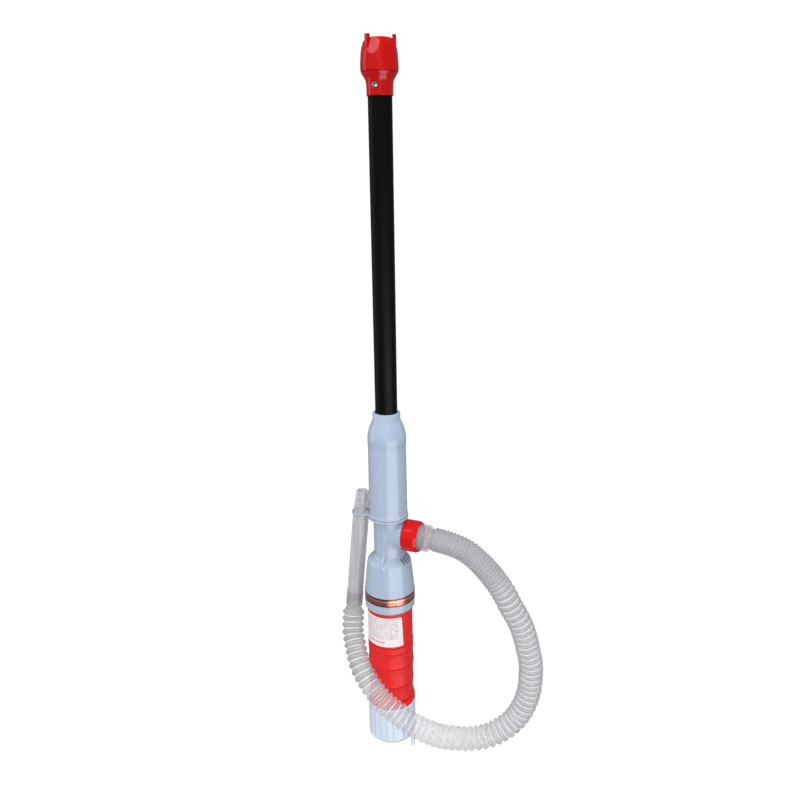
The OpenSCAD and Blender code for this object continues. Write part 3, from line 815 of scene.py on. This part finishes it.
def grip_outline():
    """The battery tube's section, with a fine groove at each crest between the finger scallops."""
    crests = [(47.0, 21.9), (48.0, 21.9), (64.0, 22.05), (85.0, 22.4), (100.8, 22.15), (107.6, 22.05)]
    crests += [(108.6, 21.6)]
    dips = (0, 0.6, 0.6, 0.6, 0.12, 0)
    steps = 14
    wall = []
    for (z0, r0), (z1, r1), dip in zip(crests, crests[1:], dips):
        for i in range(steps):
            t = i / steps
            wall.append((r0 + (r1 - r0) * t - dip * math.sin(math.pi * t) ** 0.8, z0 + (z1 - z0) * t))
    grooved = []
    for radius, height in wall:
        away = min(abs(height - groove) for groove in GROOVES)
        if away < TINY:
            grooved += [(radius - depth, height + rise) for depth, rise in GROOVE]
        elif away > 0.75:
            grooved.append((radius, height))
    return grooved


def make_grip():
    """The battery tube, from its end in the cap to its end in the pump head."""
    low = [(17.9, 11), (20.1, 11), (20.6, 11.5), (20.6, 34.7), (19.6, 34.7), (19.6, 36.3)]
    low += [(20.6, 36.3), (20.6, 40.4), (22.6, 40.4), (23.1, 40.9), (23.1, 44.6), (22.9, 45.4)]
    low += [(22.5, 45.9), (21.2, 46.1), (21.2, 46.5), (21.8, 46.8)]
    high = [(21.6, 109), (21.6, 120), (21.6, 132), (21.6, 144.5), (20.6, 144.5), (20.6, 152), (17.9, 152)]
    grip = turned("grip_shell", low + grip_outline() + high, GRIP_RED, sides=192)
    return stand_for(creased(grip), "pump", "grip_red", "battery_tube")


LABEL_START = -178.0
LABEL_TURN = 140.5
LABEL_LEAN = 4.0


def make_label():
    """A thin sheet wrapped part of the way round the battery tube, with round corners."""
    low, high, corner = 110.0, 140.9, 1.6
    inner, outer, columns, rows = 21.62, 21.88, 142, 24
    width = math.radians(LABEL_TURN) * outer
    points, flat = [], []
    for radius in (outer, inner):
        for i in range(columns + 1):
            along = width * i / columns
            near = corner - min(along, width - along)
            inset = corner - math.sqrt(max(corner ** 2 - max(near, 0) ** 2, 0))
            for j in range(rows + 1):
                height = low + inset + (high - low - 2 * inset) * j / rows
                lean = LABEL_LEAN * (high - height) / (high - low)
                angle = math.radians(LABEL_START + (LABEL_TURN + lean) * i / columns)
                points.append((radius * MM * math.cos(angle), radius * MM * math.sin(angle), height * MM))
                flat.append((along, height - low))
    layer = (columns + 1) * (rows + 1)
    faces = []
    for i in range(columns):
        for j in range(rows):
            quad = [(i + a) * (rows + 1) + j + b for a, b in ((0, 0), (1, 0), (1, 1), (0, 1))]
            faces += [quad, [layer + v for v in reversed(quad)]]
    rim = [i * (rows + 1) for i in range(columns)] + [columns * (rows + 1) + j for j in range(rows)]
    rim += [i * (rows + 1) + rows for i in range(columns, 0, -1)] + [j for j in range(rows, 0, -1)]
    faces += [[b, a, layer + a, layer + b] for a, b in zip(rim, rim[1:] + rim[:1])]
    label = place_mesh("label_sheet", points, faces, LABEL)
    layout = label.data.uv_layers.new(name="flat")
    for loop in label.data.loops:
        layout.data[loop.index].uv = flat[loop.vertex_index]
    return stand_for(creased(label), "pump", "label_vinyl", "grip_label")


def make_trim():
    """The foil band round the bell, with a raised edge at both sides."""
    section = [(23.8, 154), (24.0, 154), (24.1, 154.15), (24.1, 154.9), (24.02, 155.1), (24.02, 161.2)]
    section += [(24.1, 161.4), (24.1, 162.15), (24.0, 162.3), (23.8, 162.3)]
    trim = turned("trim_foil", refined(section, 1.2), FOIL, sides=192)
    return stand_for(creased(trim), "pump", "copper_foil", "trim_band")


make_cap()
make_grip()
make_label()
make_trim()

# ---- pump head, clip and sleeve ----

HEAD_STEP = 0.6
BELL = rounded([
    (0, 144.5), (22.2, 144.5), (23.8, 146.2), (23.8, 162.3), (22.75, 174.5), (21.85, 183),
    *arc(16.25, 191.4, 4.5, 6, 60), *arc(19, 200.8, 5, 240, 180), (14, 255.1), (12.25, 255.1),
    (12.25, 256.9), (14, 256.9), (14, 262), (0, 262),
], 0.5)
CAVITY = [
    (0, 140), (20.65, 140), (20.65, 172), (18.4, 191), (16.8, 193.5), (2.6, 193.5), (2.6, 197), (5.1, 197),
    (5.1, 201.5), (11.3, 201.5), (11.3, 270), (0, 270),
]
SPOUT = [
    (0, 0), (13, 0), (13, 16.6), (12.6, 16.6), (12.6, 17.4), (13.2, 17.7), (13.2, 18.3), (12.6, 18.6),
    (12.6, 19.8), (13.2, 20.1), (13.2, 20.7), (12.6, 21), (12.6, 22.2), (13.2, 22.5), (13.2, 23.1),
    (12.6, 23.4), (12.6, 24.6), (13.2, 24.9), (13.2, 25.5), (12.6, 25.8), (12.6, 27), (0, 27),
]
RIB = [(12, 236), (15.2, 235), (15.2, 206), (16.4, 201), (18.9, 197.6), (21.3, 194.2), (21.9, 190), (12, 190)]
RIB_TURN = 3
RIB_HALF = 1.3
VENT_ANGLES = [11.5 * i for i in range(-2, 3)]
VENT_HALF = 0.6
VENT_REACH = (14.9, 20.6)
VENT_SPAN = (190.2, 202.0)


def head_field(p):
    """The motor housing, neck and spout in one skin, with soft inner corners, and its chambers."""
    x, y, z = p.T
    out = np.hypot(x, y)
    spout_out = np.hypot(y, z - SPOUT_Z)
    skin = blended(section_field(BELL, out, z), section_field(SPOUT, spout_out, x), 3.6)
    q = around_z(p, RIB_TURN)
    rib = np.maximum(section_field(RIB, np.abs(q[:, 1]), z), np.abs(q[:, 0]) - RIB_HALF)
    skin = blended(skin, rib, 1.0)
    skin = np.maximum(skin, -section_field(CAVITY, out, z))
    return np.maximum(skin, -np.maximum(spout_out - 8.5, -x))


def vent_slots():
    """Upright bars with round ends, one for each slot in the shoulder."""
    half, (near, far), turns = VENT_HALF, VENT_REACH, np.linspace(0, math.pi, 6)
    outline = [(far - half + half * math.sin(a), -half * math.cos(a)) for a in turns]
    outline += [(near + half - half * math.sin(a), half * math.cos(a)) for a in turns]
    count = len(outline)
    points, faces = [], []
    for angle in VENT_ANGLES:
        c, s = math.cos(math.radians(angle)), math.sin(math.radians(angle))
        first = len(points)
        for z in VENT_SPAN:
            points += [((x * c - y * s) * MM, (x * s + y * c) * MM, z * MM) for x, y in outline]
        faces += [[first + i, first + (i + 1) % count, first + count + (i + 1) % count, first + count + i]
                  for i in range(count)]
        faces += [[first + i for i in range(count)][::-1], [first + count + i for i in range(count)]]
    # The bars' dark material lines the cut slot walls as painted shade
    bars = place_mesh("vent_bars", points, faces, VENT_SHADE)
    tidy(bars)
    return bars


def make_head():
    """The pump head with its vents cut, their walls lined with painted shade."""
    head = sculpted("head_shell", head_field, (-24, -24, 144), (28, 24, 262), HEAD_STEP, BODY_BLUE)
    cut_by(head, vent_slots())
    return stand_for(creased(head, 50), "pump", "body_blue", "pump_head")


CLIP_X, CLIP_Z = -28, 237


def clip_field(p):
    """The figure-eight clip: a ring on the neck, an eye for the nozzle and a web between them."""
    x, y, z = p.T
    ring = np.hypot(x, y) - 18.8
    eye = np.hypot(x - CLIP_X, y) - 8.8
    web = box_field(p, (-25, -4, 200), (-13, 4, 270))
    flat = blended(blended(ring, web, 3), eye, 3)
    soft = 0.6
    side = np.stack([flat + soft, np.abs(z - CLIP_Z) - 1.2 + soft], -1)
    skin = np.linalg.norm(np.maximum(side, 0), axis=-1) + np.minimum(side.max(-1), 0) - soft
    run = (x - CLIP_X) * NOZZLE_LEAN.x + (z - CLIP_Z) * NOZZLE_LEAN.z
    off = np.stack([x - CLIP_X - run * NOZZLE_LEAN.x, y, z - CLIP_Z - run * NOZZLE_LEAN.z], -1)
    return np.maximum(np.maximum(skin, 14.05 - np.hypot(x, y)), 7.35 - np.linalg.norm(off, axis=-1))


def make_clip():
    """The plate that holds the nozzle."""
    clip = sculpted("clip_plate", clip_field, (-38, -19, 235), (19, 19, 239), 0.4, BODY_BLUE)
    return stand_for(clip, "pump", "body_blue", "hose_clip")


SLEEVE_FLATS = (303.95, 310.05)
SLEEVE_SLIT = (243.05, 260.05)
SLEEVE_DOT = (-2.15, 256.5)


def sleeve_shape(radius, angle, height):
    """Short flats at both sides below the cone, a fine slit on the spout's side and a dot beside it."""
    if radius < 17:
        return radius
    if SLEEVE_FLATS[0] < height < SLEEVE_FLATS[1]:
        radius = min(radius, 16.8 / max(abs(math.cos(angle)), 0.01))
    across = radius * math.sin(angle)
    if math.cos(angle) > 0 and abs(across) < 0.6 and SLEEVE_SLIT[0] < height < SLEEVE_SLIT[1]:
        radius -= 0.6
    turn = angle if angle < math.pi else angle - 2 * math.pi
    dot = math.hypot(radius * turn - SLEEVE_DOT[0], height - SLEEVE_DOT[1])
    return radius - 0.5 * (1 - eased(dot, 0.5, 1.0))


def make_sleeve():
    """The sleeve with its rim, cone and collar."""
    outer = [(14.05, 238.4), (17.9, 238.4), (18.4, 238.8), (18.4, 240.2), (18.1, 240.8), (17.95, 243)]
    outer += [(17.95 - 0.25 * t, 243.1 + 16.9 * t) for t in np.linspace(0, 1, 36)]
    outer += [(17.7, 260.1), (17.6, 275), (17.45, 290), (17.4, 303.9), (17.4, 304.1), (17.5, 307)]
    outer += [(17.6, 309.9), (17.65, 310.1), (17.7, 313), (17.7, 316), (17.45, 317.4), (16.2, 323.3)]
    outer += [(14.8, 327), (13.2, 330.6), (12.6, 332.2), (12.6, 337.6), (12.3, 338.2), (11.9, 338.4)]
    inner = [(10.3, 338.4), (10.05, 338.1), (10.05, 324), (15.6, 315), (15.6, 241.4), (14.05, 241.4)]
    sleeve = turned("sleeve_shell", outer + inner, BODY_BLUE, sides=360, shape=sleeve_shape)
    return stand_for(creased(sleeve, 40), "pump", "body_blue", "sleeve")


make_head()
make_clip()
make_sleeve()

# ---- hose nut ----

NUT_FACETS = 12
FACET_DEPTH = 0.3


def faceted(radius, angle, height):
    """Twelve shallow facets round the nut."""
    if radius < 13.9:
        return radius
    step = 2 * math.pi / NUT_FACETS
    off = (angle + step / 2) % step - step / 2
    return radius - FACET_DEPTH + FACET_DEPTH * (1 - math.cos(off)) / (1 - math.cos(step / 2))


def make_nut():
    """The union nut on the spout."""
    outer = [(13.65, 17), (14.5, 17), (14.9, 17.3), (15, 17.8), (15, 21), (15, 25), (15, 29.3), (14.85, 29.8)]
    outer += [(13.7, 31.7), (13.4, 32), (12.95, 32), (12.95, 29.8), (13.65, 29.8)]
    nut = turned("nut_ring", outer, NUT_RED, axis=on_spout, sides=144, shape=faceted)
    return stand_for(creased(nut), "nut", "nut_red", "hose_nut")


make_nut()

# ---- foot ----

FOOT_STEP = 0.35
SCREW_Z = 612.2
SEAT_Y = -10.6
FLAT_SLOPE = 0.344
SPOKE_ANGLES = (45, 135, 225, 315)
PRONG_ANGLES = (-113, 7, 127)
COLLAR = rounded([
    (10.05, 604.2), (10.85, 604.2), (10.95, 611), (11.05, 613.6), (11.5, 615.7), (12.5, 617.7), (14, 620),
    (15, 621.8), (14.2, 621.8), (14.2, 625), (13.2, 625), (13.2, 621), (8.6, 619), (8.6, 617), (10.05, 617),
], 0.35)
CAGE = rounded([
    (14.25, 622.1), (15.1, 622.1), (15.45, 624.4), (15.45, 626.5), (15.2, 631), (14.9, 635.5), (14.25, 639.7),
    (13.1, 643.4), (11.6, 645.8), (10, 646.9), (7.6, 646.9), (7.6, 644.9), (10.4, 643), (12.6, 639.6),
    (12.9, 636), (13.2, 625.1), (14.25, 625.1),
], 0.35)


def collar_field(p):
    """The foot's lower half, with a spot face and a hole for its screw."""
    x, y, z = p.T
    skin = section_field(COLLAR, np.hypot(x, y), z)
    bore = np.hypot(x, z - SCREW_Z)
    skin = np.maximum(skin, -np.maximum(bore - 2.75, y - SEAT_Y))
    return np.maximum(skin, -np.maximum(bore - 1.15, y))


def cage_field(p):
    """The foot's upper half: a domed mouth with four spokes, a hub, three prongs and two flats."""
    x, y, z = p.T
    out = np.hypot(x, y)
    skin = section_field(CAGE, out, z)
    flat = (np.abs(y) + (z - 635.7) * FLAT_SLOPE - 14.4) / math.hypot(1, FLAT_SLOPE)
    skin = np.maximum(skin, flat)
    hub = np.maximum(out - 2.6, np.abs(z - 645.8) - 0.9)
    skin = np.minimum(skin, hub)
    for angle in SPOKE_ANGLES:
        spoke = box_field(around_z(p, angle), (1, -0.75, 644.9), (8.6, 0.75, 646.7))
        skin = blended(skin, spoke, 0.5)
    for angle in PRONG_ANGLES:
        q = around_z(p, angle)
        prong = box_field(q, (11.5, -1.8, 641), (15, 1.8, 648.9)) - 0.1
        root = box_field(q, (13.2, -1.8, 636), (15, 1.8, 642)) - 0.1
        skin = blended(skin, np.maximum(np.minimum(prong, root), out - 14), 0.4)
    return skin


def screw_field(p):
    """A domed cross-head screw, along -Y."""
    x, y, z = p.T
    z = z - SCREW_Z
    out = np.hypot(x, z)
    dome = np.maximum(np.sqrt(out ** 2 + (y + 9.2) ** 2) - 2.9, np.maximum(y - SEAT_Y, out - 2.45))
    shank = np.maximum(out - 1.1, np.maximum(y + 8.65, -y - 11))
    upright_arm = np.maximum(np.abs(x) - 0.4, np.abs(z) - 1.6)
    level_arm = np.maximum(np.abs(z) - 0.4, np.abs(x) - 1.6)
    arms = np.minimum(upright_arm, level_arm)
    return np.maximum(np.minimum(dome, shank), -np.maximum(arms, y + 11.2))


def make_foot():
    """The foot's two halves and the screw."""
    collar = sculpted("foot_collar_shell", collar_field, (-15.5, -15.5, 604), (15.5, 15.5, 625.4),
                      FOOT_STEP, FOOT_RED)
    stand_for(collar, "pump", "foot_red", "foot_collar")
    cage = sculpted("intake_shell", cage_field, (-15.8, -15.8, 621.9), (15.8, 15.8, 649.4),
                    FOOT_STEP, FOOT_RED)
    stand_for(cage, "pump", "foot_red", "intake_cage")
    screw = sculpted("foot_screw_head", screw_field, (-2.7, -12.5, 609.5), (2.7, -8.5, 614.9), 0.1, STEEL)
    stand_for(screw, "pump", "steel", "foot_screw")


make_foot()

# ---- floor, backdrop and light ----

FLOOR_SIZE = 12.0
BACKDROP = 1.05
AROUND_DIFFUSE = 0.76
AROUND_GLOSSY = 0.22


def make_floor():
    """A pale floor that glows softly, so that it meets the white backdrop without an edge."""
    finish = Finish("studio_floor", colour(70, 70, 70), 0.8)
    finish.shader.inputs["Specular IOR Level"].default_value = 0.0
    finish.shader.inputs["Emission Color"].default_value = (1, 1, 1, 1)
    finish.shader.inputs["Emission Strength"].default_value = 1.0
    near, far = -FLOOR_SIZE, FLOOR_SIZE
    floor = place_mesh("floor", [(near, near, 0), (far, near, 0), (far, far, 0), (near, far, 0)],
                       [(0, 1, 2, 3)], finish.material)
    floor.visible_glossy = False
    floor.visible_diffuse = False


def make_world():
    """White behind the object, dim in its reflections, and a soft grey light from all round."""
    world = bpy.data.worlds.new("studio")
    SCENE.world = world
    world.use_nodes = True
    tree = world.node_tree
    rays = tree.nodes.new("ShaderNodeLightPath").outputs
    shown = tree.nodes["Background"].outputs["Background"]
    tree.nodes["Background"].inputs["Color"].default_value = (1, 1, 1, 1)
    tree.nodes["Background"].inputs["Strength"].default_value = BACKDROP
    for ray, level in (("Is Diffuse Ray", AROUND_DIFFUSE), ("Is Glossy Ray", AROUND_GLOSSY)):
        other = tree.nodes.new("ShaderNodeBackground")
        other.inputs["Color"].default_value = (1, 1, 1, 1)
        other.inputs["Strength"].default_value = level
        mix = tree.nodes.new("ShaderNodeMixShader")
        tree.links.new(rays[ray], mix.inputs["Fac"])
        tree.links.new(shown, mix.inputs[1])
        tree.links.new(other.outputs["Background"], mix.inputs[2])
        shown = mix.outputs["Shader"]
    tree.links.new(shown, tree.nodes["World Output"].inputs["Surface"])


def softbox(name, place, target, width, height, radiance, diffuse=True, glossy=True):
    """A rectangular lamp aimed at a target, in metres."""
    data = bpy.data.lights.new(name, "AREA")
    data.shape = "RECTANGLE"
    data.size, data.size_y = width, height
    data.energy = radiance * math.pi * width * height
    lamp = bpy.data.objects.new(name, data)
    lamp.location = place
    lamp.rotation_euler = (Vector(target) - Vector(place)).to_track_quat("-Z", "Y").to_euler()
    lamp.visible_camera = False
    lamp.visible_diffuse = diffuse
    lamp.visible_glossy = glossy
    SCENE.collection.objects.link(lamp)


def seen_from_camera(turn, distance, height):
    """A place at an angle to the right of the camera's side of the object, in degrees."""
    angle = CAMERA_AZIMUTH + math.radians(turn)
    return Vector((math.sin(angle) * distance, -math.cos(angle) * distance, height))


make_floor()
make_world()
softbox("wide_panel", seen_from_camera(30, 0.9, -0.35), (0, 0, -0.35), 1.2, 1.2, 3.8, diffuse=False)
softbox("left_strip", seen_from_camera(-98, 1.5, 0.5), (0, 0, 0.5), 0.4, 1.4, 1.6, diffuse=False)
softbox("overhead", seen_from_camera(10, 0.5, 2.6), (0, 0, 0.3), 1.6, 1.2, 4.2, glossy=False)
softbox("dome_light", seen_from_camera(-48, 1.9, 2.4), (0, 0, 0.64), 0.9, 0.9, 3.4, diffuse=False)
softbox("key", seen_from_camera(-2, 1.9, 1.0), (0, 0, 0.3), 1.0, 1.2, 4.6, glossy=False)
softbox("fill", seen_from_camera(-50, 1.9, 0.9), (0, 0, 0.3), 1.0, 1.2, 1.2, glossy=False)
SCENE.view_settings.view_transform = "Standard"
